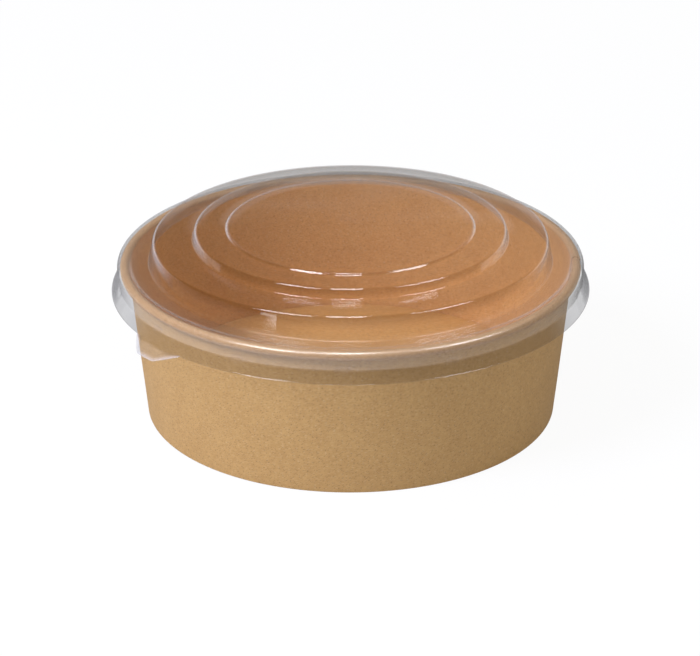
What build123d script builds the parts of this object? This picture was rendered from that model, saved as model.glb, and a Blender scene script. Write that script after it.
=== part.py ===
# Round kraft paper bowl with a clear snap-fit lid, in millimetres.
# The frame stands on the middle of the foot, with +Z up the axis. The pull tab points towards -X and -Y.
import os
from math import asin, atan2, cos, degrees, sin, tan

from build123d import *

# Bowl: overall sizes
rim_diameter = 184.6
base_diameter = 165.6
bowl_height = 63.5

# Bowl: board, folds and the rolled rim
wall_board = 0.45
base_board = 0.4
glue_gap = 0.05
rim_roll = 3.8
rim_turn = 300
foot_recess = 6.0
hem_height = 4.6
hem_round = 0.3
base_round = 0.6
base_skirt_level = 0.9

# Bowl: lap seam just behind the right side, where the blank's two ends overlap
lap_azimuth = 3.0
lap_width = 9.0
lap_level = 1.0
lap_below_rim = 0.4

# Lid: film, and its clearances to the rolled rim
film = 0.4
seat_gap = 0.3
band_gap = 0.9
crease_gap = 0.55

# Lid: heights, each from the level before it
crease_drop = 7.2
skirt_drop = 4.8
channel_depth = 0.9
outer_step = 8.5
middle_step = 4.1
plateau_step = 0.9

# Lid: widths, from the skirt's edge in to the middle
skirt_flare = 2.8
crest_width = 4.4
crest_slope = 1.5
channel_width = 6.6
outer_draft = 2.0
outer_ledge = 15.7
middle_draft = 1.1
middle_ledge = 12.2
plateau_draft = 0.6

# Lid: rounded corners, on the middle of the film
crease_round = 0.7
crest_round = 2.2
channel_round = 2.0
foot_round = 0.5
ring_round = 1.2
plateau_round = 0.7

# Lid: snap lugs, short dents just above the crease that reach in under the rolled rim
lug_count = 14
lug_length = 6.0
lug_height = 2.4
lug_slope = 0.6
lug_depth = 0.25
first_lug = 242.5

# Lid: pull tab, a drooping lip on the skirt's edge
tab_azimuth = 218.7
tab_root = 28.5
tab_tip = 10.0
tab_reach = 5.8
tab_drop = 3.3
tab_round = 3.0

# Middle line of the wall's board, from the foot to where the rim starts to roll
rim_radius = rim_diameter / 2
roll_radius = (rim_roll - wall_board) / 2
roll_middle = Vector(rim_radius - rim_roll / 2, bowl_height - rim_roll / 2)
wall_foot = Vector(base_diameter / 2 - wall_board / 2, wall_board / 2)
foot_to_roll = roll_middle - wall_foot
wall_angle = atan2(foot_to_roll.Y, foot_to_roll.X) + asin(roll_radius / foot_to_roll.length)
wall_way = Vector(cos(wall_angle), sin(wall_angle))
wall_top = wall_foot + wall_way * (foot_to_roll.length**2 - roll_radius**2) ** 0.5


def wall_radius(level, inwards=0.0):
    """Radius of the wall's middle line at a level, moved inwards square to the wall."""
    return wall_foot.X + (level - wall_foot.Y) / tan(wall_angle) - inwards / sin(wall_angle)


# Side wall: hem folded up inside the foot, tapered wall with its lap seam, rim rolled outwards
hem_inset = wall_board + base_board + 2 * glue_gap
lap_angle = degrees(lap_width / rim_radius)
lap_top = bowl_height - rim_roll - lap_below_rim
lap_face = -wall_board * 1.5

with BuildPart() as side_wall:
    with BuildSketch(Plane.XZ):
        with BuildLine():
            board_line = Polyline(
                (wall_radius(hem_height, hem_inset), hem_height),
                (wall_radius(wall_foot.Y, hem_inset), wall_foot.Y),
                (wall_foot.X, wall_foot.Y),
                (wall_top.X, wall_top.Y),
            )
            fillet(board_line.vertices().group_by(Axis.Y)[0], radius=hem_round)
            JernArc((wall_top.X, wall_top.Y), (wall_way.X, wall_way.Y), roll_radius, -rim_turn)
        trace(line_width=wall_board)
    revolve(axis=Axis.Z)
    with BuildSketch(Plane.XZ.rotated((0, 0, lap_azimuth - lap_angle / 2))):
        with BuildLine():
            Polyline(
                (wall_radius(lap_level), lap_level),
                (wall_radius(lap_level, lap_face), lap_level),
                (wall_radius(lap_top, lap_face), lap_top),
                (wall_radius(lap_top), lap_top),
                close=True,
            )
        make_face()
    revolve(axis=Axis.Z, revolution_arc=lap_angle)
side_wall.part.label = "side_wall"

# Bottom: a disc set up inside the foot, its skirt turned down between the wall and the hem
base_inset = wall_board / 2 + glue_gap + base_board / 2
base_level = foot_recess + base_board / 2

with BuildPart() as bottom_disc:
    with BuildSketch(Plane.XZ):
        with BuildLine():
            disc_line = Polyline(
                (0, base_level),
                (wall_radius(base_level, base_inset), base_level),
                (wall_radius(base_skirt_level, base_inset), base_skirt_level),
            )
            fillet(disc_line.vertices()[1], radius=base_round)
        trace(line_width=base_board)
    revolve(axis=Axis.Z)
bottom_disc.part.label = "bottom_disc"

# Levels and radii of the lid, on the middle of its film
crest_level = bowl_height + seat_gap + film / 2
crease_level = crest_level - crease_drop
skirt_level = crease_level - skirt_drop
channel_level = crest_level - channel_depth
outer_level = crest_level + outer_step
middle_level = outer_level + middle_step
plateau_level = middle_level + plateau_step

band_radius = rim_radius + band_gap + film / 2
crease_radius = rim_radius + crease_gap + film / 2
skirt_radius = crease_radius + skirt_flare
crest_radius = band_radius - crest_width
channel_radius = crest_radius - crest_slope
outer_foot = channel_radius - channel_width
outer_radius = outer_foot - outer_draft
middle_foot = outer_radius - outer_ledge
middle_radius = middle_foot - middle_draft
plateau_foot = middle_radius - middle_ledge
plateau_radius = plateau_foot - plateau_draft

# Pull tab: part of a drooping brim round the skirt's edge, cut to a tapered outline
tab_outer = skirt_radius + tab_reach
tab_inner = skirt_radius * cos(asin(tab_root / 2 / skirt_radius)) - film

with BuildPart() as pull_tab:
    with BuildSketch(Plane.XZ):
        with BuildLine():
            Line((skirt_radius, skirt_level), (tab_outer, skirt_level - tab_drop))
        trace(line_width=film)
    revolve(axis=Axis.Z)
    with BuildSketch(Plane.XY.offset(skirt_level - 2 * tab_drop)):
        with BuildLine(Plane.XY.rotated((0, 0, tab_azimuth))):
            tab_outline = Polyline(
                (tab_inner, -tab_root / 2),
                (tab_outer, -tab_tip / 2),
                (tab_outer, tab_tip / 2),
                (tab_inner, tab_root / 2),
                close=True,
            )
            fillet(tab_outline.vertices()[1:3], radius=tab_round)
        make_face()
    extrude(amount=4 * tab_drop, mode=Mode.INTERSECT)

# Snap lug: one dent, as the film it adds inside the band and the film it takes from outside
lug_angle = degrees(lug_length / crease_radius)
lug_plane = Plane.XZ.rotated((0, 0, first_lug - lug_angle / 2))


def lug_outline(root_radius, face_radius):
    """Close the outline of a lug's section, from its root to its face."""
    return Polyline(
        (root_radius, crease_level),
        (face_radius, crease_level + lug_slope),
        (face_radius, crease_level + lug_height - lug_slope),
        (root_radius, crease_level + lug_height),
        close=True,
    )


with BuildPart() as lug_inside:
    with BuildSketch(lug_plane):
        with BuildLine():
            lug_outline(crease_radius, crease_radius - film / 2 - lug_depth)
        make_face()
    revolve(axis=Axis.Z, revolution_arc=lug_angle)

with BuildPart() as lug_outside:
    with BuildSketch(lug_plane):
        with BuildLine():
            lug_outline(band_radius + film, crease_radius + film / 2 - lug_depth)
        make_face()
    revolve(axis=Axis.Z, revolution_arc=lug_angle)

# Lid: one sheet of clear film drawn into rings, a crest over the rim, a band and a flared skirt
with BuildPart() as lid:
    with BuildSketch(Plane.XZ):
        with BuildLine():
            film_line = Polyline(
                (0, plateau_level),
                (plateau_radius, plateau_level),
                (plateau_foot, middle_level),
                (middle_radius, middle_level),
                (middle_foot, outer_level),
                (outer_radius, outer_level),
                (outer_foot, channel_level),
                (channel_radius, channel_level),
                (crest_radius, crest_level),
                (band_radius, crest_level),
                (crease_radius, crease_level),
                (skirt_radius, skirt_level),
            )
            corners = film_line.vertices()
            fillet(corners[1:3], radius=plateau_round)
            fillet([corners[3], corners[5]], radius=ring_round)
            fillet([corners[4], corners[6]], radius=foot_round)
            fillet(corners[7:9], radius=channel_round)
            fillet(corners[9], radius=crest_round)
            fillet(corners[10], radius=crease_round)
        trace(line_width=film)
    revolve(axis=Axis.Z)
    add(pull_tab.part)
    with PolarLocations(0, lug_count):
        add(lug_inside.part)
        add(lug_outside.part, mode=Mode.SUBTRACT)
lid.part.label = "lid"

os.makedirs("parts", exist_ok=True)
export_step(side_wall.part, "parts/side_wall.step")
export_step(bottom_disc.part, "parts/bottom_disc.step")
export_step(lid.part, "parts/lid.step")
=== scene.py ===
# Kraft paper bowl with a clear ringed lid: its surfaces, light and view.
# Lengths are in millimetres and angles in degrees, unless a name or comment says otherwise.
from math import acos, asin, atan2, ceil, cos, degrees, pi, radians, sin, tan

import bmesh
import bpy
import numpy as np
from mathutils import Matrix, Vector, noise


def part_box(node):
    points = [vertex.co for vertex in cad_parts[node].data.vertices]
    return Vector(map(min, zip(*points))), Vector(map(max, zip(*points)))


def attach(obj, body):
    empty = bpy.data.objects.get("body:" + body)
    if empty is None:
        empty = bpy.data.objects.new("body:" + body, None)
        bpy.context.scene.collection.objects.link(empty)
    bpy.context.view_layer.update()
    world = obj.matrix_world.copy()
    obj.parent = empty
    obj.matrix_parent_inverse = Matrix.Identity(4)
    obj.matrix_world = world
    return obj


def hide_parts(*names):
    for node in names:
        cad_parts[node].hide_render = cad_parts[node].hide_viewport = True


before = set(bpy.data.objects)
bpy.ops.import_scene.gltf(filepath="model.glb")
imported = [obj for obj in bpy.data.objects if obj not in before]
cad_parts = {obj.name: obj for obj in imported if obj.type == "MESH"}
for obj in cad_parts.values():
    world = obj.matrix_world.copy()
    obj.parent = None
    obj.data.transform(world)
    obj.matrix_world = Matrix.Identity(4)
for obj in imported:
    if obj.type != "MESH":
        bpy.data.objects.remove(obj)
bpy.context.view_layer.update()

MM = 0.001

# Bowl: rim and height from the frame, then the foot, the board and its folds
rim_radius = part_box("side_wall")[1].x / MM
bowl_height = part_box("side_wall")[1].z / MM
base_radius = 82.8
wall_board = 0.45
base_board = 0.4
glue_gap = 0.05
rim_roll = 3.8
rim_turn = 300
foot_recess = 6.0
hem_height = 4.6
hem_round = 0.3
base_round = 0.6
base_skirt_level = 0.9

# Bowl: lap seam just behind the right side
lap_azimuth = 3.0
lap_width = 9.0
lap_settle = 9.0
lap_level = 1.5
lap_blend = 5.0

# Bowl: how far the wall strays from a true cone, calm near the foot and the rim
wall_stray = 0.12
wall_stray_length = 45.0
wall_stray_start = 3.7
wall_calm = 15.0

# Bowl: how far the bottom board dishes, and how unevenly
base_dish = 0.35
base_stray = 0.5
base_stray_length = 60.0
base_stray_start = 9.1

# Lid: film and clearances
film = 0.4
seat_gap = 0.3
band_gap = 0.9
crease_gap = 0.55

# Lid: heights, each from the level before it
crease_drop = 7.2
skirt_drop = 4.8
channel_depth = 0.9
outer_step = 8.5
middle_step = 4.1
plateau_step = 0.9

# Lid: widths, from the skirt's edge in to the middle
skirt_flare = 2.8
crest_width = 4.4
crest_slope = 1.5
channel_width = 6.6
outer_draft = 2.0
outer_ledge = 15.7
middle_draft = 1.1
middle_ledge = 12.2
plateau_draft = 0.6

# Lid: rounded corners
crease_round = 0.7
crest_round = 2.2
channel_round = 2.0
foot_round = 0.5
ring_round = 1.2
plateau_round = 0.7

# Lid: snap lugs, whose ends fade over shares of their half length
lug_count = 14
lug_length = 6.0
lug_height = 2.4
lug_depth = 0.28
lug_tail = 2.2
lug_heel = 0.45
lug_mark = 0.12
lug_fade_start = 0.85
lug_fade_run = 0.3
first_lug = 242.5

# Lid: pull tab, with a low ridge inside its edge
tab_azimuth = 218.7
tab_root = 28.5
tab_tip = 10.0
tab_reach = 5.8
tab_drop = 3.3
tab_round = 3.0
tab_ridge = 0.6
tab_ridge_inset = 1.6
tab_ridge_width = 0.9
tab_edge_width = 0.8
tab_least_reach = 0.15
tab_ridge_rise = 1.5
tab_bend = 1.2

# Lid: how far the drawn film strays from its mould, calm at the middle and near the crest
film_stray = 0.05
film_stray_length = 22.0
film_stray_start = 5.3
middle_calm = 10.0
crest_calm = 12.0

# Meshes: longest runs and steps along each section, and columns round each piece
arc_step = 15.0
wall_run = 2.5
bottom_run = 5.0
band_run = 0.45
band_lug_heights = 1.6
step_run = 1.6
ledge_run = 5.0
roll_steps = 26
seam_columns = 40
wall_columns = 300
bottom_columns = 240
lug_parts = 2
lug_margin = 2.0
tab_parts = 4
tab_margin = 1.0
tab_rows = 14
round_turns = (45, 90, 135)
weld_distance = 0.001
board_sharp_angle = 50.0
film_sharp_angle = 80.0

# Boards: kinds of face, each the place of its finish in the piece's list of materials
inside_face, outside_face, edge_face, rolled_face = range(4)

# Boards: how far apart the two sides lie on the flat map, so that their fibres differ
wall_sides_apart = 600.0
bottom_sides_apart = 300.0

# Boards: flecks as screen colours, relief, roughness about its middle value, and the tone's parts
dark_fleck = (120, 82, 46)
pale_fleck = (226, 200, 158)
relief_height = 0.06
relief_strength = 0.35
gloss_spread = 0.06
cloud_share = 0.35
mottle_share = 0.55

# Bottom board: where its painted shade starts and ends, measured from the middle of the foot
painted_shade_start = 45.0
painted_shade_end = 82.0

# Film: the tint that it gives to what shows through it
clear_tint = (0.985, 0.988, 0.990, 1.0)
edge_on_tint = (0.88, 0.87, 0.87, 1.0)
skirt_tint = (0.90, 0.90, 0.91, 1.0)
corner_tint = (0.84, 0.83, 0.82, 1.0)
lamp_tint = (0.955, 0.957, 0.96, 1.0)

# Film: its milky share where it is seen edge on, and in each zone
milk_colour = (0.94, 0.88, 0.86, 1.0)
edge_on_haze = 0.16
corner_haze = 0.16
rim_haze = 0.02
band_haze = 0.034
tab_haze = 0.03
pressed_haze = 0.2

# Film: its gloss and the relief of its ripples; the scales count ripples and smears to a metre
head_on_mirror = 0.04
film_roughness = (0.02, 0.06)
crest_roughness = 0.2
ripple_scale = 70.0
ripple_height = 0.02
ripple_strength = 0.5
smear_scale = 240.0

# Floor: its half width and places on it in metres, and its brightness from 0 to 1
floor_half = 12.0
floor_glow_share = 0.93
floor_bounce = 0.45
floor_through_film = 0.7
key_way = (-0.6, -0.8, 0)
key_reach = (-0.3, 0.22)
key_growth = 400.0
key_glow = 0.3
least_glow = 0.1
near_fade = (0.22, 0.36)
faded_share = 0.1
back_glow = 0.8
back_rise = (0.2, 0.6)
far_rise = (0.45, 0.9)

# Room: what gloss mirrors, and the fill light; a height is the sine of a ray's elevation
room_glow = 0.03
backdrop_glow = 0.8
backdrop_fade = (0.08, 0.28)
backdrop_top_glow = 0.26
backdrop_top = (0.354, 0.376)
backdrop_side = (0.2, 0.6)
front_glow = 0.3
front_fade = (0.05, 0.12)
front_side = (-0.9, -0.65)
low_fill = 0.68
high_fill = 0.5

# Lamps: in metres, the height that they face and their distance from it
lamp_aim = 0.04
lamp_distance = 1.4

# View: the photograph's camera
view_elevation = 24.3
view_distance = 1200.0
view_roll = -0.17
look_at = Vector((-0.28, 0.0, 32.2))
focal_pixels = 2959
frame_pixels = 700
sensor_width = 36.0


def unit(vector):
    """The vector at length one."""
    return vector / np.linalg.norm(vector)


def corner_arc(before, corner, after, radius):
    """Points of the arc that rounds a corner of an open line."""
    back = unit(before - corner)
    ahead = unit(after - corner)
    half = acos(np.clip(back @ ahead, -1, 1)) / 2
    centre = corner + unit(back + ahead) * radius / sin(half)
    start = corner + back * radius / tan(half) - centre
    turn = pi - 2 * half
    side = np.sign(back[1] * ahead[0] - back[0] * ahead[1])
    count = max(2, ceil(degrees(turn) / arc_step))
    points = []
    for number in range(count + 1):
        angle = side * turn * number / count
        swing = np.array([[cos(angle), -sin(angle)], [sin(angle), cos(angle)]])
        points.append(centre + swing @ start)
    return points


def rounded(points, rounds):
    """An open line whose inner corners are rounded, each with its own radius."""
    points = [np.array(point, float) for point in points]
    line = [points[0]]
    for number, radius in enumerate(rounds, start=1):
        line += corner_arc(points[number - 1], points[number], points[number + 1], radius)
    return np.array(line + [points[-1]])


def divided(line, longest):
    """The line with its long runs cut into parts no longer than longest(middle of the run)."""
    points = [line[0]]
    for start, end in zip(line[:-1], line[1:]):
        count = max(1, ceil(np.linalg.norm(end - start) / longest((start + end) / 2)))
        points += [start + (end - start) * number / count for number in range(1, count + 1)]
    return np.array(points)


def left_normals(line):
    """Unit normals on the left of an open line in the (radius, level) plane."""
    runs = np.diff(line, axis=0)
    runs /= np.linalg.norm(runs, axis=1)[:, None]
    ways = np.vstack([runs[:1], runs[:-1] + runs[1:], runs[-1:]])
    ways /= np.linalg.norm(ways, axis=1)[:, None]
    return np.stack([-ways[:, 1], ways[:, 0]], axis=1)


def lengths_along(line):
    """Distance of each point from the line's start."""
    steps = np.linalg.norm(np.diff(line, axis=0), axis=1)
    return np.concatenate([[0], np.cumsum(steps)])


def smooth_step(value):
    """0 below zero, 1 above one, and smooth in between."""
    value = np.clip(value, 0, 1)
    return value * value * (3 - 2 * value)


def turned(radii, levels, angles):
    """Places [column, row, xyz] of a section at each angle."""
    turns = np.radians(angles)[:, None]
    return np.stack([radii * np.cos(turns), radii * np.sin(turns), levels + 0 * turns], axis=2)


def stray(places, length, start):
    """Smooth noise between about -1 and 1 at each place, with the given wave length."""
    spots = places.reshape(-1, 3) / length + start
    values = [noise.noise(Vector(spot)) for spot in spots]
    return np.array(values).reshape(places.shape[:-1])


def grid_faces(columns, rows, closed):
    """Vertex numbers [column, row, corner] of the faces over a grid whose rows join up end to end."""
    index = np.arange(columns * rows).reshape(columns, rows)
    index = np.hstack([index, index[:, :1]])
    if closed:
        index = np.vstack([index, index[:1]])
    return np.stack([index[:-1, :-1], index[:-1, 1:], index[1:, 1:], index[1:, :-1]], axis=2)


def make_piece(name, places, faces, kinds, materials, flat=None):
    """An object made of the places and faces, with a material for each kind of face."""
    mesh = bpy.data.meshes.new(name)
    mesh.from_pydata((places.reshape(-1, 3) * MM).tolist(), [], faces.tolist())
    for material in materials:
        mesh.materials.append(material)
    mesh.polygons.foreach_set("material_index", np.asarray(kinds, np.int32))
    if flat is not None:
        layer = mesh.uv_layers.new(name="board_mm")
        layer.data.foreach_set("uv", flat.reshape(-1, 2)[faces.ravel()].astype(np.float32).ravel())
    piece = bpy.data.objects.new(name, mesh)
    bpy.context.scene.collection.objects.link(piece)
    return piece


def weld(piece):
    """Join vertices that lie in one place, and drop the faces that this leaves with no area."""
    shape = bmesh.new()
    shape.from_mesh(piece.data)
    bmesh.ops.remove_doubles(shape, verts=shape.verts, dist=weld_distance * MM)
    shape.to_mesh(piece.data)
    shape.free()


def shade_smooth(piece, sharp_angle):
    """Smooth shading, with edges kept where the surface turns by more than the angle."""
    piece.data.polygons.foreach_set("use_smooth", [True] * len(piece.data.polygons))
    piece.data.set_sharp_from_angle(angle=radians(sharp_angle))


# Middle line of the wall's board, from the foot to where its rim starts to roll
roll_radius = (rim_roll - wall_board) / 2
roll_middle = np.array([rim_radius - rim_roll / 2, bowl_height - rim_roll / 2])
wall_foot = np.array([base_radius - wall_board / 2, wall_board / 2])
foot_to_roll = roll_middle - wall_foot
foot_to_roll_length = np.linalg.norm(foot_to_roll)
wall_angle = atan2(foot_to_roll[1], foot_to_roll[0]) + asin(roll_radius / foot_to_roll_length)
wall_way = np.array([cos(wall_angle), sin(wall_angle)])
wall_top = wall_foot + wall_way * (foot_to_roll_length**2 - roll_radius**2) ** 0.5


def wall_radius(level, inwards=0.0):
    """Radius of the wall's middle line at a level, moved inwards square to the wall."""
    return wall_foot[0] + (level - wall_foot[1]) / tan(wall_angle) - inwards / sin(wall_angle)


def wall_line():
    """Middle line of the board, from the hem's edge round the foot and up to the rolled rim's edge."""
    hem_inset = wall_board + base_board + 2 * glue_gap
    corners = [
        (wall_radius(hem_height, hem_inset), hem_height),
        (wall_radius(wall_foot[1], hem_inset), wall_foot[1]),
        wall_foot,
        wall_top,
    ]
    line = divided(rounded(corners, [hem_round, hem_round]), lambda middle: wall_run)
    start = wall_angle + pi / 2
    turns = start - radians(rim_turn) * np.arange(1, roll_steps + 1) / roll_steps
    roll = roll_middle + roll_radius * np.stack([np.cos(turns), np.sin(turns)], axis=1)
    return np.vstack([line, roll])


def wall_angles():
    """Column angles along the blank, from its inner end to its outer end, closer at the seam."""
    lap = degrees(lap_width / rim_radius)
    near = degrees(2 * lap_settle / rim_radius)
    first = np.linspace(0, lap + near, seam_columns, endpoint=False)
    middle = np.linspace(lap + near, 360 - near, wall_columns, endpoint=False)
    last = np.linspace(360 - near, 360 + lap, seam_columns + 1)
    return np.concatenate([first, middle, last]), lap


def blank_places(angles, lengths):
    """Where points of the wall lay on the flat blank, a sector of a ring, before it was bent."""
    turns = np.radians(angles)[:, None] * cos(wall_angle)
    reach = base_radius / cos(wall_angle) + lengths[None, :]
    return np.stack([reach * np.sin(turns), reach * np.cos(turns)], axis=2)


def lapped(line, lengths, angles, lap):
    """By how much of its thickness the board is pared, and is shifted outwards, near the seam.

    Above the foot the outer end is whole and lies on the inner one. At the foot both are pared
    to half, so that together they are one board thick.
    """
    settle = degrees(lap_settle / rim_radius)
    under = 1 - smooth_step((angles - lap) / settle)
    over = smooth_step((angles - 360 + settle) / settle)
    raised = smooth_step((line[:, 1] - lap_level) / lap_blend)
    raised[lengths < hem_height] = 0
    low = (1 - raised)[None, :]
    pared = (under + over)[:, None] * low / 2
    shift = over[:, None] * (0.25 + 0.75 * raised)[None, :] - under[:, None] * low / 4
    return pared, shift


def end_faces(column, rows, order):
    """Faces across the board's thickness at one end of the blank."""
    near = column * 2 * rows + np.arange(rows)
    far = column * 2 * rows + 2 * rows - 1 - np.arange(rows)
    quads = np.stack([near[:-1], far[:-1], far[1:], near[1:]], axis=1)
    return quads[:, ::order]


def make_side_wall(inside, outside, raw_edge, rolled):
    """The blank bent round with its ends lapped, hemmed at the foot and rolled at the rim."""
    line = wall_line()
    normals = left_normals(line)
    lengths = lengths_along(line)
    angles, lap = wall_angles()
    pared, shift = lapped(line, lengths, angles, lap)
    wobble = stray(turned(line[:, 0], line[:, 1], angles), wall_stray_length, wall_stray_start)
    wobble *= wall_stray
    wobble *= smooth_step(line[:, 1] / wall_calm) * smooth_step((bowl_height - line[:, 1]) / wall_calm)
    start_azimuth = lap_azimuth - lap / 2
    sides = []
    for side in (0.5, -0.5):
        across = (side * (1 - pared) - shift) * wall_board
        radii = line[:, 0] + normals[:, 0] * across + wobble
        levels = line[:, 1] + normals[:, 1] * across
        sides.append(turned(radii, levels, angles + start_azimuth))
    places = np.concatenate([sides[0], sides[1][:, ::-1]], axis=1)

    flat = blank_places(angles, lengths)
    flat = np.concatenate([flat, flat[:, ::-1] + wall_sides_apart], axis=1)
    rows = len(line)
    faces = grid_faces(len(angles), 2 * rows, closed=False)
    kinds = np.full(faces.shape[:2], inside_face)
    kinds[:, rows:] = outside_face
    kinds[:, [rows - 1, 2 * rows - 1]] = edge_face
    kinds[:, rows - 1 - roll_steps:rows - 1] = rolled_face
    ends = [end_faces(0, rows, 1), end_faces(len(angles) - 1, rows, -1)]
    faces = np.vstack([faces.reshape(-1, 4), *ends])
    kinds = np.concatenate([kinds.ravel(), np.full(2 * (rows - 1), edge_face)])
    finishes = [inside, outside, raw_edge, rolled]
    piece = make_piece("kraft_wall", places, faces, kinds, finishes, flat)
    shade_smooth(piece, board_sharp_angle)
    return piece


def make_bottom(inside, outside, raw_edge):
    """The round bottom board, its edge turned down between the wall and the hem."""
    inset = wall_board / 2 + glue_gap + base_board / 2
    level = foot_recess + base_board / 2
    corners = [
        (0, level),
        (wall_radius(level, inset), level),
        (wall_radius(base_skirt_level, inset), base_skirt_level),
    ]
    line = divided(rounded(corners, [base_round]), lambda middle: bottom_run)
    normals = left_normals(line)
    lengths = lengths_along(line)
    angles = np.arange(bottom_columns) * 360 / bottom_columns
    middle = turned(line[:, 0], line[:, 1], angles)
    sag = base_dish * (1 - smooth_step(line[:, 0] / wall_radius(level, inset)))
    sag = sag * (1 + base_stray * stray(middle, base_stray_length, base_stray_start))
    sides = []
    for side in (0.5, -0.5):
        radii = line[:, 0] + normals[:, 0] * side * base_board
        levels = line[:, 1] + normals[:, 1] * side * base_board - sag
        sides.append(turned(np.maximum(radii, 0), levels, angles))
    places = np.concatenate([sides[0], sides[1][:, ::-1]], axis=1)

    flat = turned(lengths, 0 * lengths, angles)[:, :, :2]
    flat = np.concatenate([flat, flat[:, ::-1] + bottom_sides_apart], axis=1)
    rows = len(line)
    faces = grid_faces(len(angles), 2 * rows, closed=True)[:, :-1]
    kinds = np.full(faces.shape[:2], inside_face)
    kinds[:, rows:] = outside_face
    kinds[:, rows - 1] = edge_face
    finishes = [inside, outside, raw_edge]
    piece = make_piece("kraft_bottom", places, faces.reshape(-1, 4), kinds.ravel(), finishes, flat)
    weld(piece)
    shade_smooth(piece, board_sharp_angle)
    return piece


# Levels and radii of the lid, on the middle of its film
crest_level = bowl_height + seat_gap + film / 2
crease_level = crest_level - crease_drop
skirt_level = crease_level - skirt_drop
channel_level = crest_level - channel_depth
outer_level = crest_level + outer_step
middle_level = outer_level + middle_step
plateau_level = middle_level + plateau_step
band_radius = rim_radius + band_gap + film / 2
crease_radius = rim_radius + crease_gap + film / 2
skirt_radius = crease_radius + skirt_flare
crest_radius = band_radius - crest_width
channel_radius = crest_radius - crest_slope
outer_foot = channel_radius - channel_width
outer_radius = outer_foot - outer_draft
middle_foot = outer_radius - outer_ledge
middle_radius = middle_foot - middle_draft
plateau_foot = middle_radius - middle_ledge
plateau_radius = plateau_foot - plateau_draft


def lid_run(middle):
    """Longest run of the film's line near a place: short at the lugs and longer inside the rings."""
    if middle[0] > crest_radius and middle[1] < crease_level + band_lug_heights * lug_height:
        return band_run
    return step_run if middle[0] > outer_radius else ledge_run


def film_line():
    """Middle line of the film, from the lid's middle out to the skirt's edge, short of its round."""
    crease = np.array([crease_radius, crease_level])
    skirt = np.array([skirt_radius, skirt_level])
    corners = [
        (0, plateau_level),
        (plateau_radius, plateau_level),
        (plateau_foot, middle_level),
        (middle_radius, middle_level),
        (middle_foot, outer_level),
        (outer_radius, outer_level),
        (outer_foot, channel_level),
        (channel_radius, channel_level),
        (crest_radius, crest_level),
        (band_radius, crest_level),
        crease,
        skirt - unit(skirt - crease) * film / 2,
    ]
    rounds = [plateau_round] * 2
    rounds += [ring_round, foot_round] * 2
    rounds += [channel_round] * 2
    rounds += [crest_round, crease_round]
    return divided(rounded(corners, rounds), lid_run)


def angle_between(angles, azimuth):
    """Angles measured from an azimuth, between -180 and 180."""
    return (angles - azimuth + 180) % 360 - 180


def lug_azimuths():
    """Azimuth of each snap lug."""
    return first_lug + np.arange(lug_count) * 360 / lug_count


def lid_angles():
    """Column angles round the lid, a degree apart, closer at the lugs and closest at the pull tab."""
    lug_zone = degrees((lug_length / 2 + lug_margin) / crease_radius)
    tab_zone = degrees(tab_root / 2 / skirt_radius) + tab_margin
    angles = []
    for angle in range(360):
        parts = 1
        if np.abs(angle_between(angle + 0.5, lug_azimuths())).min() < lug_zone:
            parts = lug_parts
        if abs(angle_between(angle + 0.5, tab_azimuth)) < tab_zone:
            parts = tab_parts
        angles += [angle + number / parts for number in range(parts)]
    return np.array(angles)


def tab_outline():
    """The tab's edge seen from above, with x out from the axis, from one root corner to the other."""
    root = skirt_radius * cos(asin(tab_root / 2 / skirt_radius))
    tip = skirt_radius + tab_reach
    corners = [(root, -tab_root / 2), (tip, -tab_tip / 2), (tip, tab_tip / 2), (root, tab_root / 2)]
    return rounded(corners, [tab_round] * 2)


def distance_to_line(points, line):
    """Distance of each point [.., xy] to the nearest place on an open line."""
    nearest = np.full(points.shape[:-1], np.inf)
    for start, end in zip(line[:-1], line[1:]):
        run = end - start
        share = np.clip(((points - start) @ run) / (run @ run), 0, 1)
        gap = np.linalg.norm(points - start - share[..., None] * run, axis=-1)
        nearest = np.minimum(nearest, gap)
    return nearest


def tab_rows_out(angles, end, outline):
    """How far each added row reaches past the skirt's edge towards the tab's outline."""
    outline_angles = np.degrees(np.arctan2(outline[:, 1], outline[:, 0]))
    outline_reach = np.linalg.norm(outline, axis=1)
    offsets = angle_between(angles, tab_azimuth)
    edge = np.interp(offsets, outline_angles, outline_reach, left=0, right=0)
    reach = np.maximum(edge - film / 2 - end, 0)
    reach[reach < tab_least_reach] = 0
    shares = np.arange(1, tab_rows + 1) / tab_rows
    return reach[:, None] * shares[None, :]


def add_tab(angles, radii, levels, across, down, pressed):
    """Rows past the skirt's edge that reach out to the tab's outline, and have no width elsewhere."""
    outline = tab_outline()
    out = tab_rows_out(angles, radii[:, -1], outline)
    tab_radii = radii[:, -1:] + out
    turns = np.radians(angle_between(angles, tab_azimuth))[:, None]
    spots = np.stack([tab_radii * np.cos(turns), tab_radii * np.sin(turns)], axis=2)
    inset = distance_to_line(spots, outline)
    ridge = tab_ridge * np.exp(-(((inset - tab_ridge_inset) / tab_ridge_width) ** 2))
    ridge *= smooth_step(out / tab_ridge_rise)
    edge_marks = np.exp(-((inset / tab_edge_width) ** 2)) * (out > 0)
    tab_levels = levels[:, -1:] - out * tab_drop / tab_reach + ridge
    slope = atan2(tab_drop, tab_reach)
    blend = smooth_step(out / tab_bend)
    tab_across = across[:, -1:] * (1 - blend) + sin(slope) * blend
    tab_down = down[:, -1:] * (1 - blend) + cos(slope) * blend
    size = np.hypot(tab_across, tab_down)
    return (
        np.hstack([radii, tab_radii]),
        np.hstack([levels, tab_levels]),
        np.hstack([across, tab_across / size]),
        np.hstack([down, tab_down / size]),
        np.hstack([pressed, edge_marks]),
    )


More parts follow.
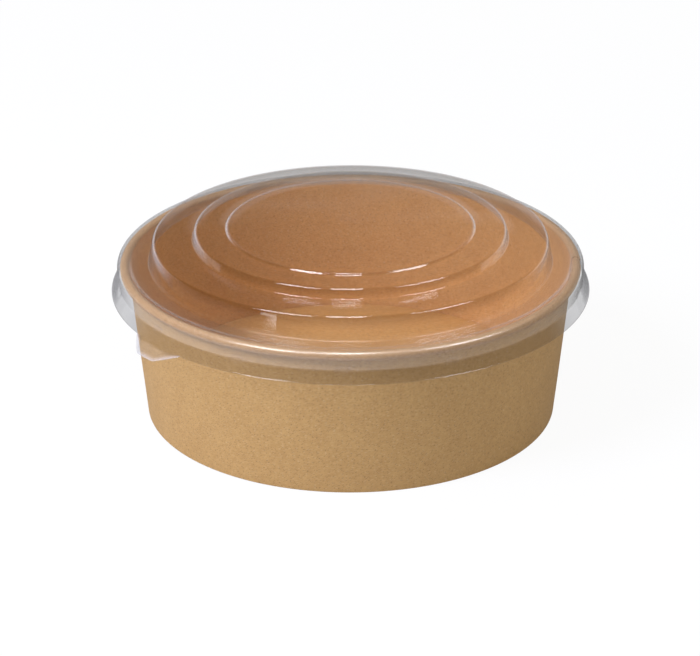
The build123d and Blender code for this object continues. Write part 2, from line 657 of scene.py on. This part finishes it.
def lug_dents(angles, line):
    """How far each place of the band is pushed in by the snap lugs."""
    gaps = np.abs(angle_between(angles[:, None], lug_azimuths()[None, :])).min(axis=1)
    along = np.radians(gaps) * crease_radius / (lug_length / 2)
    rise = line[:, 1] - crease_level
    upper = 1 - smooth_step(rise / lug_height * 2 - 1)
    lower = lug_heel * smooth_step(1 + rise / lug_tail) + (1 - lug_heel) * smooth_step(rise)
    depth = lug_depth * upper * lower * (line[:, 0] > crest_radius)
    return (1 - smooth_step((along - lug_fade_start) / lug_fade_run))[:, None] * depth[None, :]


def film_section(radii, levels, across, down):
    """Both sides of the film, joined by three rows that round its outer edge."""
    half = film / 2
    rings = [(radii + across * half, levels + down * half)]
    for turn in round_turns:
        tilt = radians(turn)
        out = across[:, -1:] * cos(tilt) + down[:, -1:] * sin(tilt)
        up = down[:, -1:] * cos(tilt) - across[:, -1:] * sin(tilt)
        rings.append((radii[:, -1:] + out * half, levels[:, -1:] + up * half))
    rings.append(((radii - across * half)[:, ::-1], (levels - down * half)[:, ::-1]))
    all_radii = np.maximum(np.hstack([ring[0] for ring in rings]), 0)
    return all_radii, np.hstack([ring[1] for ring in rings])


def make_lid(clear_film):
    """One sheet of film: plateau, ring steps, channel, crest, band with lugs, skirt and tab."""
    line = film_line()
    angles = lid_angles()
    normals = left_normals(line)
    ones = np.ones((len(angles), 1))
    wave = stray(turned(line[:, 0], line[:, 1], angles), film_stray_length, film_stray_start)
    wave = (wave - 1) * film_stray
    wave *= smooth_step(line[:, 0] / middle_calm)
    wave *= smooth_step((crest_radius - line[:, 0]) / crest_calm)
    dents = lug_dents(angles, line)
    radii = ones * line[:, 0] + normals[:, 0] * wave - dents
    levels = ones * line[:, 1] + normals[:, 1] * wave
    across = ones * normals[:, 0]
    down = ones * normals[:, 1]
    pressed = lug_mark * dents / lug_depth
    radii, levels, across, down, pressed = add_tab(angles, radii, levels, across, down, pressed)
    places = turned(*film_section(radii, levels, across, down), angles)
    faces = grid_faces(len(angles), places.shape[1], closed=True)[:, :-1].reshape(-1, 4)
    piece = make_piece("clear_lid", places, faces, np.zeros(len(faces)), [clear_film])
    marks = piece.data.attributes.new("pressed", "FLOAT", "POINT")
    pressed = np.hstack([pressed, pressed[:, [-1, -1, -1]], pressed[:, ::-1]])
    marks.data.foreach_set("value", pressed.astype(np.float32).ravel())
    weld(piece)
    shade_smooth(piece, film_sharp_angle)
    return piece


def shade(red, green, blue):
    """A colour given as it looks on a screen, 0 to 255, as Blender's linear colour."""
    parts = []
    for value in (red, green, blue):
        value /= 255
        parts.append(value / 12.92 if value <= 0.04045 else ((value + 0.055) / 1.055) ** 2.4)
    return (*parts, 1.0)


def new_tree(name):
    """A material with an empty node tree."""
    material = bpy.data.materials.new(name)
    material.use_nodes = True
    material.node_tree.nodes.clear()
    return material, material.node_tree


def add_node(tree, kind, inputs=None, **settings):
    """A shader node with its settings, and a value or a link for each input."""
    made = tree.nodes.new("ShaderNode" + kind)
    for name, value in settings.items():
        setattr(made, name, value)
    for name, value in (inputs or {}).items():
        if isinstance(value, bpy.types.NodeSocket):
            tree.links.new(value, made.inputs[name])
        else:
            made.inputs[name].default_value = value
    return made


def maths(tree, operation, first, second=0.0):
    """One step of arithmetic on two numbers or sockets."""
    return add_node(tree, "Math", {0: first, 1: second}, operation=operation).outputs[0]


def total(tree, first, second):
    """Two numbers or sockets added."""
    return maths(tree, "ADD", first, second)


def product(tree, first, second):
    """Two numbers or sockets multiplied."""
    return maths(tree, "MULTIPLY", first, second)


def the_rest(tree, share):
    """What a share leaves of one."""
    return maths(tree, "SUBTRACT", 1.0, share)


def mixed(tree, factor, low, high):
    """A colour between two others."""
    made = add_node(tree, "Mix", {0: factor, 6: low, 7: high}, data_type="RGBA")
    return made.outputs[2]


def ranged(tree, value, low, high, to_low=0.0, to_high=1.0):
    """A value spread from one range to another, held at its ends."""
    inputs = {"Value": value, "From Min": low, "From Max": high, "To Min": to_low, "To Max": to_high}
    return add_node(tree, "MapRange", inputs).outputs[0]


def rises(tree, value, low, high):
    """0 below low and 1 above high, both in millimetres."""
    return ranged(tree, value, low * MM, high * MM)


def falls(tree, value, low, high):
    """1 below low and 0 above high, both in millimetres."""
    return ranged(tree, value, low * MM, high * MM, 1.0, 0.0)


def blended(tree, factor, low, high):
    """A shader between two others."""
    return add_node(tree, "MixShader", {0: factor, 1: low, 2: high}).outputs[0]


def object_place(tree):
    """Place on the object, in metres."""
    return add_node(tree, "TexCoord").outputs["Object"]


def length_of(tree, vector):
    """Length of a vector."""
    return add_node(tree, "VectorMath", {0: vector}, operation="LENGTH").outputs["Value"]


def streaks(tree, flat, length, width, turn, detail=2.0):
    """Noise drawn out along one direction of the flat board, like its fibres."""
    inputs = {"Vector": flat, "Rotation": (0, 0, radians(turn)), "Scale": (length, width, 1)}
    mapped = add_node(tree, "Mapping", inputs, vector_type="TEXTURE").outputs[0]
    inputs = {"Vector": mapped, "Scale": 1.0, "Detail": detail, "Roughness": 0.6}
    return add_node(tree, "TexNoise", inputs, noise_dimensions="2D").outputs[0]


def kraft_tone(tree, flat, fibre_contrast):
    """How light the board is: matted fibres in three directions over clouds and mottling."""
    cloud = streaks(tree, flat, 16.0, 9.0, 20, 3.0)
    mottle = streaks(tree, flat, 2.6, 1.7, -10, 2.0)
    fibres = streaks(tree, flat, 2.2, 0.28, 4)
    fibres = total(tree, fibres, streaks(tree, flat, 1.7, 0.24, 38))
    fibres = total(tree, fibres, streaks(tree, flat, 1.7, 0.24, -33))
    fibres = product(tree, maths(tree, "DIVIDE", fibres, 3.0), fibre_contrast)
    fibres = total(tree, fibres, 0.5 - 0.5 * fibre_contrast)
    soft = total(tree, product(tree, cloud, cloud_share), product(tree, mottle, mottle_share))
    soft = maths(tree, "SUBTRACT", soft, (cloud_share + mottle_share) / 2)
    return total(tree, fibres, soft)


def flecked(tree, flat, colour):
    """The colour with a few short dark and pale fibres on it."""
    dark = ranged(tree, streaks(tree, flat, 1.1, 0.35, 15, 0.0), 0.70, 0.80, 0.0, 0.45)
    pale = ranged(tree, streaks(tree, flat, 1.4, 0.32, -22, 0.0), 0.70, 0.82, 0.0, 0.35)
    colour = mixed(tree, dark, colour, shade(*dark_fleck))
    return mixed(tree, pale, colour, shade(*pale_fleck))


def painted_shade_outwards(tree, colour, painted_edge_shade):
    """The colour, darkened towards the bottom board's edge by the given factor, as painted shade."""
    radius = length_of(tree, object_place(tree))
    factor = ranged(tree, radius, painted_shade_start * MM, painted_shade_end * MM, 1.0, painted_edge_shade)
    return add_node(tree, "VectorMath", {0: colour, "Scale": factor}, operation="SCALE").outputs[0]


def kraft(name, dark, light, roughness, specular, fibre_contrast, painted_edge_shade=1.0):
    """Brown board of fibres between a dark and a light colour, with flecks, a fine relief and optional
    painted shade towards its edge.
    """
    material, tree = new_tree(name)
    flat = add_node(tree, "UVMap", uv_map="board_mm").outputs[0]
    tone = kraft_tone(tree, flat, fibre_contrast)
    colour = mixed(tree, ranged(tree, tone, 0.0, 1.0), shade(*dark), shade(*light))
    colour = flecked(tree, flat, colour)
    # Painted shade: darker towards the bottom board's edge
    if painted_edge_shade < 1:
        colour = painted_shade_outwards(tree, colour, painted_edge_shade)
    relief = {"Strength": relief_strength, "Distance": relief_height * MM, "Height": tone}
    inputs = {
        "Base Color": colour,
        "Roughness": ranged(tree, tone, 0.0, 1.0, roughness + gloss_spread, roughness - gloss_spread),
        "Specular IOR Level": specular,
        "Normal": add_node(tree, "Bump", relief).outputs[0],
    }
    board = add_node(tree, "BsdfPrincipled", inputs).outputs[0]
    add_node(tree, "OutputMaterial", {"Surface": board})
    return material


def film_zones(tree, place):
    """Shares from 0 to 1 of the lid's zones: ring corners, cover of the rim, crest, band, skirt and tab."""
    level = add_node(tree, "SeparateXYZ", {0: place}).outputs["Z"]
    flat = add_node(tree, "VectorMath", {0: place, 1: (1, 1, 0)}, operation="MULTIPLY").outputs["Vector"]
    radius = length_of(tree, flat)
    above_crease = rises(tree, level, crease_level - 0.6, crease_level + 0.2)
    above_tab = rises(tree, level, skirt_level - 0.6, skirt_level - 0.1)
    below_crest = falls(tree, level, crest_level - 2.4, crest_level - 1.4)
    past_channel = rises(tree, radius, channel_radius - 3, crest_radius)
    near_crest = rises(tree, level, crest_level - 2.5, crest_level - 2.0)
    corners = 0.0
    for ring in (plateau_radius, middle_radius, outer_radius):
        aside = maths(tree, "ABSOLUTE", maths(tree, "SUBTRACT", radius, ring * MM))
        corners = total(tree, corners, falls(tree, aside, 0.3, 0.9))
    return {
        "corners": corners,
        "over_rim": product(tree, past_channel, the_rest(tree, below_crest)),
        "crest": product(tree, near_crest, falls(tree, level, crest_level + 0.3, crest_level + 1)),
        "band": product(tree, below_crest, above_crease),
        "skirt": maths(tree, "SUBTRACT", above_tab, above_crease),
        "tab": the_rest(tree, above_tab),
    }


def film_tint(tree, edge_on, zones):
    """Colour that the film gives to what shows through it, deeper edge on and at ring corners."""
    tint = mixed(tree, ranged(tree, edge_on, 0.7, 1.0), clear_tint, edge_on_tint)
    tint = mixed(tree, zones["skirt"], tint, skirt_tint)
    faced = product(tree, zones["corners"], ranged(tree, edge_on, 0.35, 0.55, 1.0, 0.0))
    return mixed(tree, faced, tint, corner_tint)


def film_milk(tree, edge_on, zones):
    """Milky share of the film, more where it is stretched, pressed or seen edge on."""
    grazed_corners = product(tree, zones["corners"], ranged(tree, edge_on, 0.52, 0.75))
    pressed = add_node(tree, "Attribute", attribute_name="pressed").outputs["Fac"]
    milk = product(tree, maths(tree, "POWER", edge_on, 8.0), edge_on_haze)
    milky_parts = [
        (zones["over_rim"], rim_haze),
        (zones["band"], band_haze),
        (zones["tab"], tab_haze),
        (grazed_corners, corner_haze),
        (pressed, pressed_haze),
    ]
    for share, haze in milky_parts:
        milk = total(tree, milk, product(tree, share, haze))
    return milk


def film_gloss(tree, place, bump, zones):
    """Clear gloss with faint smears, softer where the film bends over the rim."""
    smears = add_node(tree, "TexNoise", {"Vector": place, "Scale": smear_scale, "Detail": 2.0}).outputs[0]
    rough = ranged(tree, smears, 0.3, 0.7, *film_roughness)
    rough = total(tree, rough, product(tree, zones["crest"], crest_roughness))
    return add_node(tree, "BsdfGlossy", {"Roughness": rough, "Normal": bump}).outputs[0]


def make_clear_film():
    """Clear glossy film that doesn't bend what is seen through it, a little milky in places."""
    material, tree = new_tree("clear_film")
    place = object_place(tree)
    zones = film_zones(tree, place)
    ripple = add_node(tree, "TexNoise", {"Vector": place, "Scale": ripple_scale, "Detail": 1.0}).outputs[0]
    relief = {"Strength": ripple_strength, "Distance": ripple_height * MM, "Height": ripple}
    bump = add_node(tree, "Bump", relief).outputs[0]
    edge_on = add_node(tree, "LayerWeight", {"Blend": 0.5, "Normal": bump}).outputs["Facing"]

    mirror = product(tree, maths(tree, "POWER", edge_on, 5.0), 1 - head_on_mirror)
    mirror = total(tree, mirror, head_on_mirror)
    tint = film_tint(tree, edge_on, zones)
    clear = add_node(tree, "BsdfTransparent", {"Color": tint}).outputs[0]
    milky = add_node(tree, "BsdfDiffuse", {"Color": milk_colour}).outputs[0]
    seen_through = blended(tree, film_milk(tree, edge_on, zones), clear, milky)
    plastic = blended(tree, mirror, seen_through, film_gloss(tree, place, bump, zones))

    # Lamps and soft light go straight through
    open_air = add_node(tree, "BsdfTransparent", {"Color": lamp_tint}).outputs[0]
    rays = add_node(tree, "LightPath").outputs
    soft = maths(tree, "MAXIMUM", rays["Is Shadow Ray"], rays["Is Diffuse Ray"])
    add_node(tree, "OutputMaterial", {"Surface": blended(tree, soft, plastic, open_air)})
    return material


def seen_rays(tree):
    """1 for rays that show the background: straight from the camera, mirrored or through film.

    The second value is 1 for the camera's own rays only.
    """
    rays = add_node(tree, "LightPath").outputs
    seen = maths(tree, "MAXIMUM", rays["Is Camera Ray"], rays["Is Glossy Ray"])
    return maths(tree, "MAXIMUM", seen, rays["Is Transmission Ray"]), rays["Is Camera Ray"]


def floor_glow(tree):
    """How bright gloss mirrors the floor: brighter towards the key light, and again far behind."""
    place = object_place(tree)
    reach = length_of(tree, place)
    to_key = add_node(tree, "VectorMath", {0: place, 1: key_way}, operation="DOT_PRODUCT").outputs["Value"]
    to_key = ranged(tree, to_key, *key_reach, *key_reach)
    near = product(tree, maths(tree, "POWER", key_growth, to_key), key_glow)
    near = total(tree, near, least_glow)
    near = product(tree, near, ranged(tree, reach, *near_fade, 1.0, faded_share))
    back = add_node(tree, "SeparateXYZ", {0: place}).outputs["Y"]
    behind = ranged(tree, back, *back_rise, 0.0, back_glow)
    return total(tree, near, product(tree, behind, ranged(tree, reach, *far_rise)))


def pale_floor():
    """Matt floor that reads white to the camera, keeps the object's shadow and bounces less light."""
    material, tree = new_tree("pale_floor")
    seen, straight = seen_rays(tree)
    films = ranged(tree, add_node(tree, "LightPath").outputs["Transparent Depth"], 0.0, 1.0)
    dimmed = (floor_through_film, floor_through_film, floor_through_film, 1.0)
    glow = mixed(tree, straight, floor_glow(tree), mixed(tree, films, (1, 1, 1, 1), dimmed))
    tone = mixed(tree, seen, (floor_bounce, floor_bounce, floor_bounce, 1.0), (1.0, 1.0, 1.0, 1.0))
    matt = add_node(tree, "BsdfDiffuse", {"Color": tone}).outputs[0]
    white = add_node(tree, "Emission", {"Color": glow, "Strength": 1.0}).outputs[0]
    surface = blended(tree, product(tree, seen, floor_glow_share), matt, white)
    add_node(tree, "OutputMaterial", {"Surface": surface})
    return material


def make_floor():
    """A plain pale floor."""
    corners = [(-floor_half, -floor_half, 0), (floor_half, -floor_half, 0)]
    corners += [(floor_half, floor_half, 0), (-floor_half, floor_half, 0)]
    mesh = bpy.data.meshes.new("floor")
    mesh.from_pydata(corners, [], [(0, 1, 2, 3)])
    mesh.materials.append(pale_floor())
    floor = bpy.data.objects.new("floor", mesh)
    bpy.context.scene.collection.objects.link(floor)


def mirrored_room(tree, way, height):
    """How bright gloss mirrors the room: a white backdrop behind, a low wall in front, dim elsewhere."""
    backdrop = ranged(tree, height, *backdrop_fade, backdrop_glow, 0.0)
    backdrop = total(tree, backdrop, ranged(tree, height, *backdrop_top, backdrop_top_glow, 0.0))
    backdrop = product(tree, backdrop, ranged(tree, way["Y"], *backdrop_side))
    front = ranged(tree, height, *front_fade, front_glow, 0.0)
    front = product(tree, front, ranged(tree, way["Y"], *front_side, 1.0, 0.0))
    return total(tree, total(tree, backdrop, front), room_glow)


def make_world():
    """White for the camera, a dimmer room for gloss, and soft fill for diffuse light."""
    world = bpy.data.worlds.new("studio")
    world.use_nodes = True
    tree = world.node_tree
    tree.nodes.clear()
    seen, straight = seen_rays(tree)
    way = add_node(tree, "SeparateXYZ", {0: add_node(tree, "TexCoord").outputs["Generated"]}).outputs
    height = way["Z"]
    shown = product(tree, seen, mirrored_room(tree, way, height))
    shown = maths(tree, "MAXIMUM", straight, shown)
    fill = ranged(tree, height, 0.0, 1.0, low_fill, high_fill)
    strength = total(tree, shown, product(tree, the_rest(tree, seen), fill))
    sky = add_node(tree, "Background", {"Color": (1, 1, 1, 1), "Strength": strength}).outputs[0]
    add_node(tree, "OutputWorld", {"Surface": sky})
    bpy.context.scene.world = world


def way_from_front(azimuth, elevation):
    """Unit vector to a lamp; azimuth 0 is the front and grows to the right."""
    turn = radians(azimuth)
    rise = radians(elevation)
    return Vector((sin(turn) * cos(rise), -cos(turn) * cos(rise), sin(rise)))


def softbox(name, azimuth, elevation, width, height, radiance, lights=True, shows=True, tone=(1, 1, 1)):
    """A rectangular lamp, in metres, that faces the bowl; it may only light it, or only show in gloss."""
    lamp = bpy.data.lights.new(name, "AREA")
    lamp.shape = "RECTANGLE"
    lamp.size = width
    lamp.size_y = height
    lamp.energy = radiance * pi * width * height
    lamp.color = tone
    way = way_from_front(azimuth, elevation)
    lamp_object = bpy.data.objects.new(name, lamp)
    lamp_object.location = Vector((0, 0, lamp_aim)) + way * lamp_distance
    lamp_object.rotation_mode = "QUATERNION"
    lamp_object.rotation_quaternion = (-way).to_track_quat("-Z", "Y")
    lamp_object.visible_camera = False
    lamp_object.visible_transmission = False
    lamp_object.visible_diffuse = lights
    lamp_object.visible_glossy = shows
    bpy.context.scene.collection.objects.link(lamp_object)


def make_lamps():
    """A key light on the left, a soft fill on the right, and four more that only show in gloss."""
    softbox("key_light", -57, 42, 0.56, 0.55, 15.2, shows=False, tone=(0.97, 1.03, 1.34))
    softbox("right_fill", 70, 40, 0.9, 0.7, 0.9, shows=False, tone=(1.0, 0.97, 0.9))
    softbox("key_softbox", -48, 50, 0.56, 0.55, 16.0, lights=False)
    softbox("front_strip", -4, 70, 0.36, 0.6, 18.0, lights=False)
    softbox("right_strip", 65, 48, 0.66, 0.5, 12.0, lights=False)
    softbox("low_card", -44.5, 1.5, 0.22, 0.1, 3.5, lights=False)


def make_camera():
    """The photograph's camera."""
    rise = radians(view_elevation)
    roll = radians(view_roll)
    ahead = Vector((0, cos(rise), -sin(rise)))
    level_right = Vector((1, 0, 0))
    level_up = Vector((0, sin(rise), cos(rise)))
    right = level_right * cos(roll) + level_up * sin(roll)
    up = level_up * cos(roll) - level_right * sin(roll)
    place = (look_at - ahead * view_distance) * MM
    camera = bpy.data.cameras.new("camera")
    camera.sensor_width = sensor_width
    camera.lens = focal_pixels * sensor_width / frame_pixels
    camera_object = bpy.data.objects.new("camera", camera)
    turn = Matrix((right, up, -ahead)).transposed().to_4x4()
    camera_object.matrix_world = Matrix.Translation(place) @ turn
    bpy.context.scene.collection.objects.link(camera_object)
    bpy.context.scene.camera = camera_object


def dress(piece, node, body):
    """The piece stands in for a solid of the frame, which is hidden, and moves with the body."""
    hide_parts(node)
    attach(piece, body)


# Boards: screen colours of their dark and light fibres, roughness, specular level and contrast
outside_kraft = kraft("kraft_outside", (183, 139, 80), (217, 174, 111), 0.62, 0.5, 0.42)
inside_kraft = kraft("kraft_inside", (192, 137, 79), (226, 173, 109), 0.6, 0.4, 0.45)
raw_kraft = kraft("kraft_raw_edge", (170, 130, 84), (214, 178, 126), 0.9, 0.2, 1.2)
# Rolled rim: the outside board a little darker and greyer at its light end; the darkening is painted shade
# for the roll's top, which the lamps light more
rolled_kraft_painted_shade = kraft("kraft_rolled_rim", (182, 136, 85), (210, 166, 114), 0.62, 0.4, 0.42)
# The bottom board carries painted shade, darker towards its edge
bottom_kraft = kraft("kraft_bottom", (194, 140, 75), (228, 175, 104), 0.6, 0.4, 0.45, painted_edge_shade=0.92)

side_wall = make_side_wall(inside_kraft, outside_kraft, raw_kraft, rolled_kraft_painted_shade)
bottom = make_bottom(bottom_kraft, outside_kraft, raw_kraft)
lid = make_lid(make_clear_film())
dress(side_wall, "side_wall", "bowl")
dress(bottom, "bottom_disc", "bowl")
dress(lid, "lid", "lid")

make_floor()
make_world()
make_lamps()
make_camera()
bpy.context.scene.view_settings.view_transform = "Standard"
bpy.context.scene.cycles.transparent_max_bounces = 32
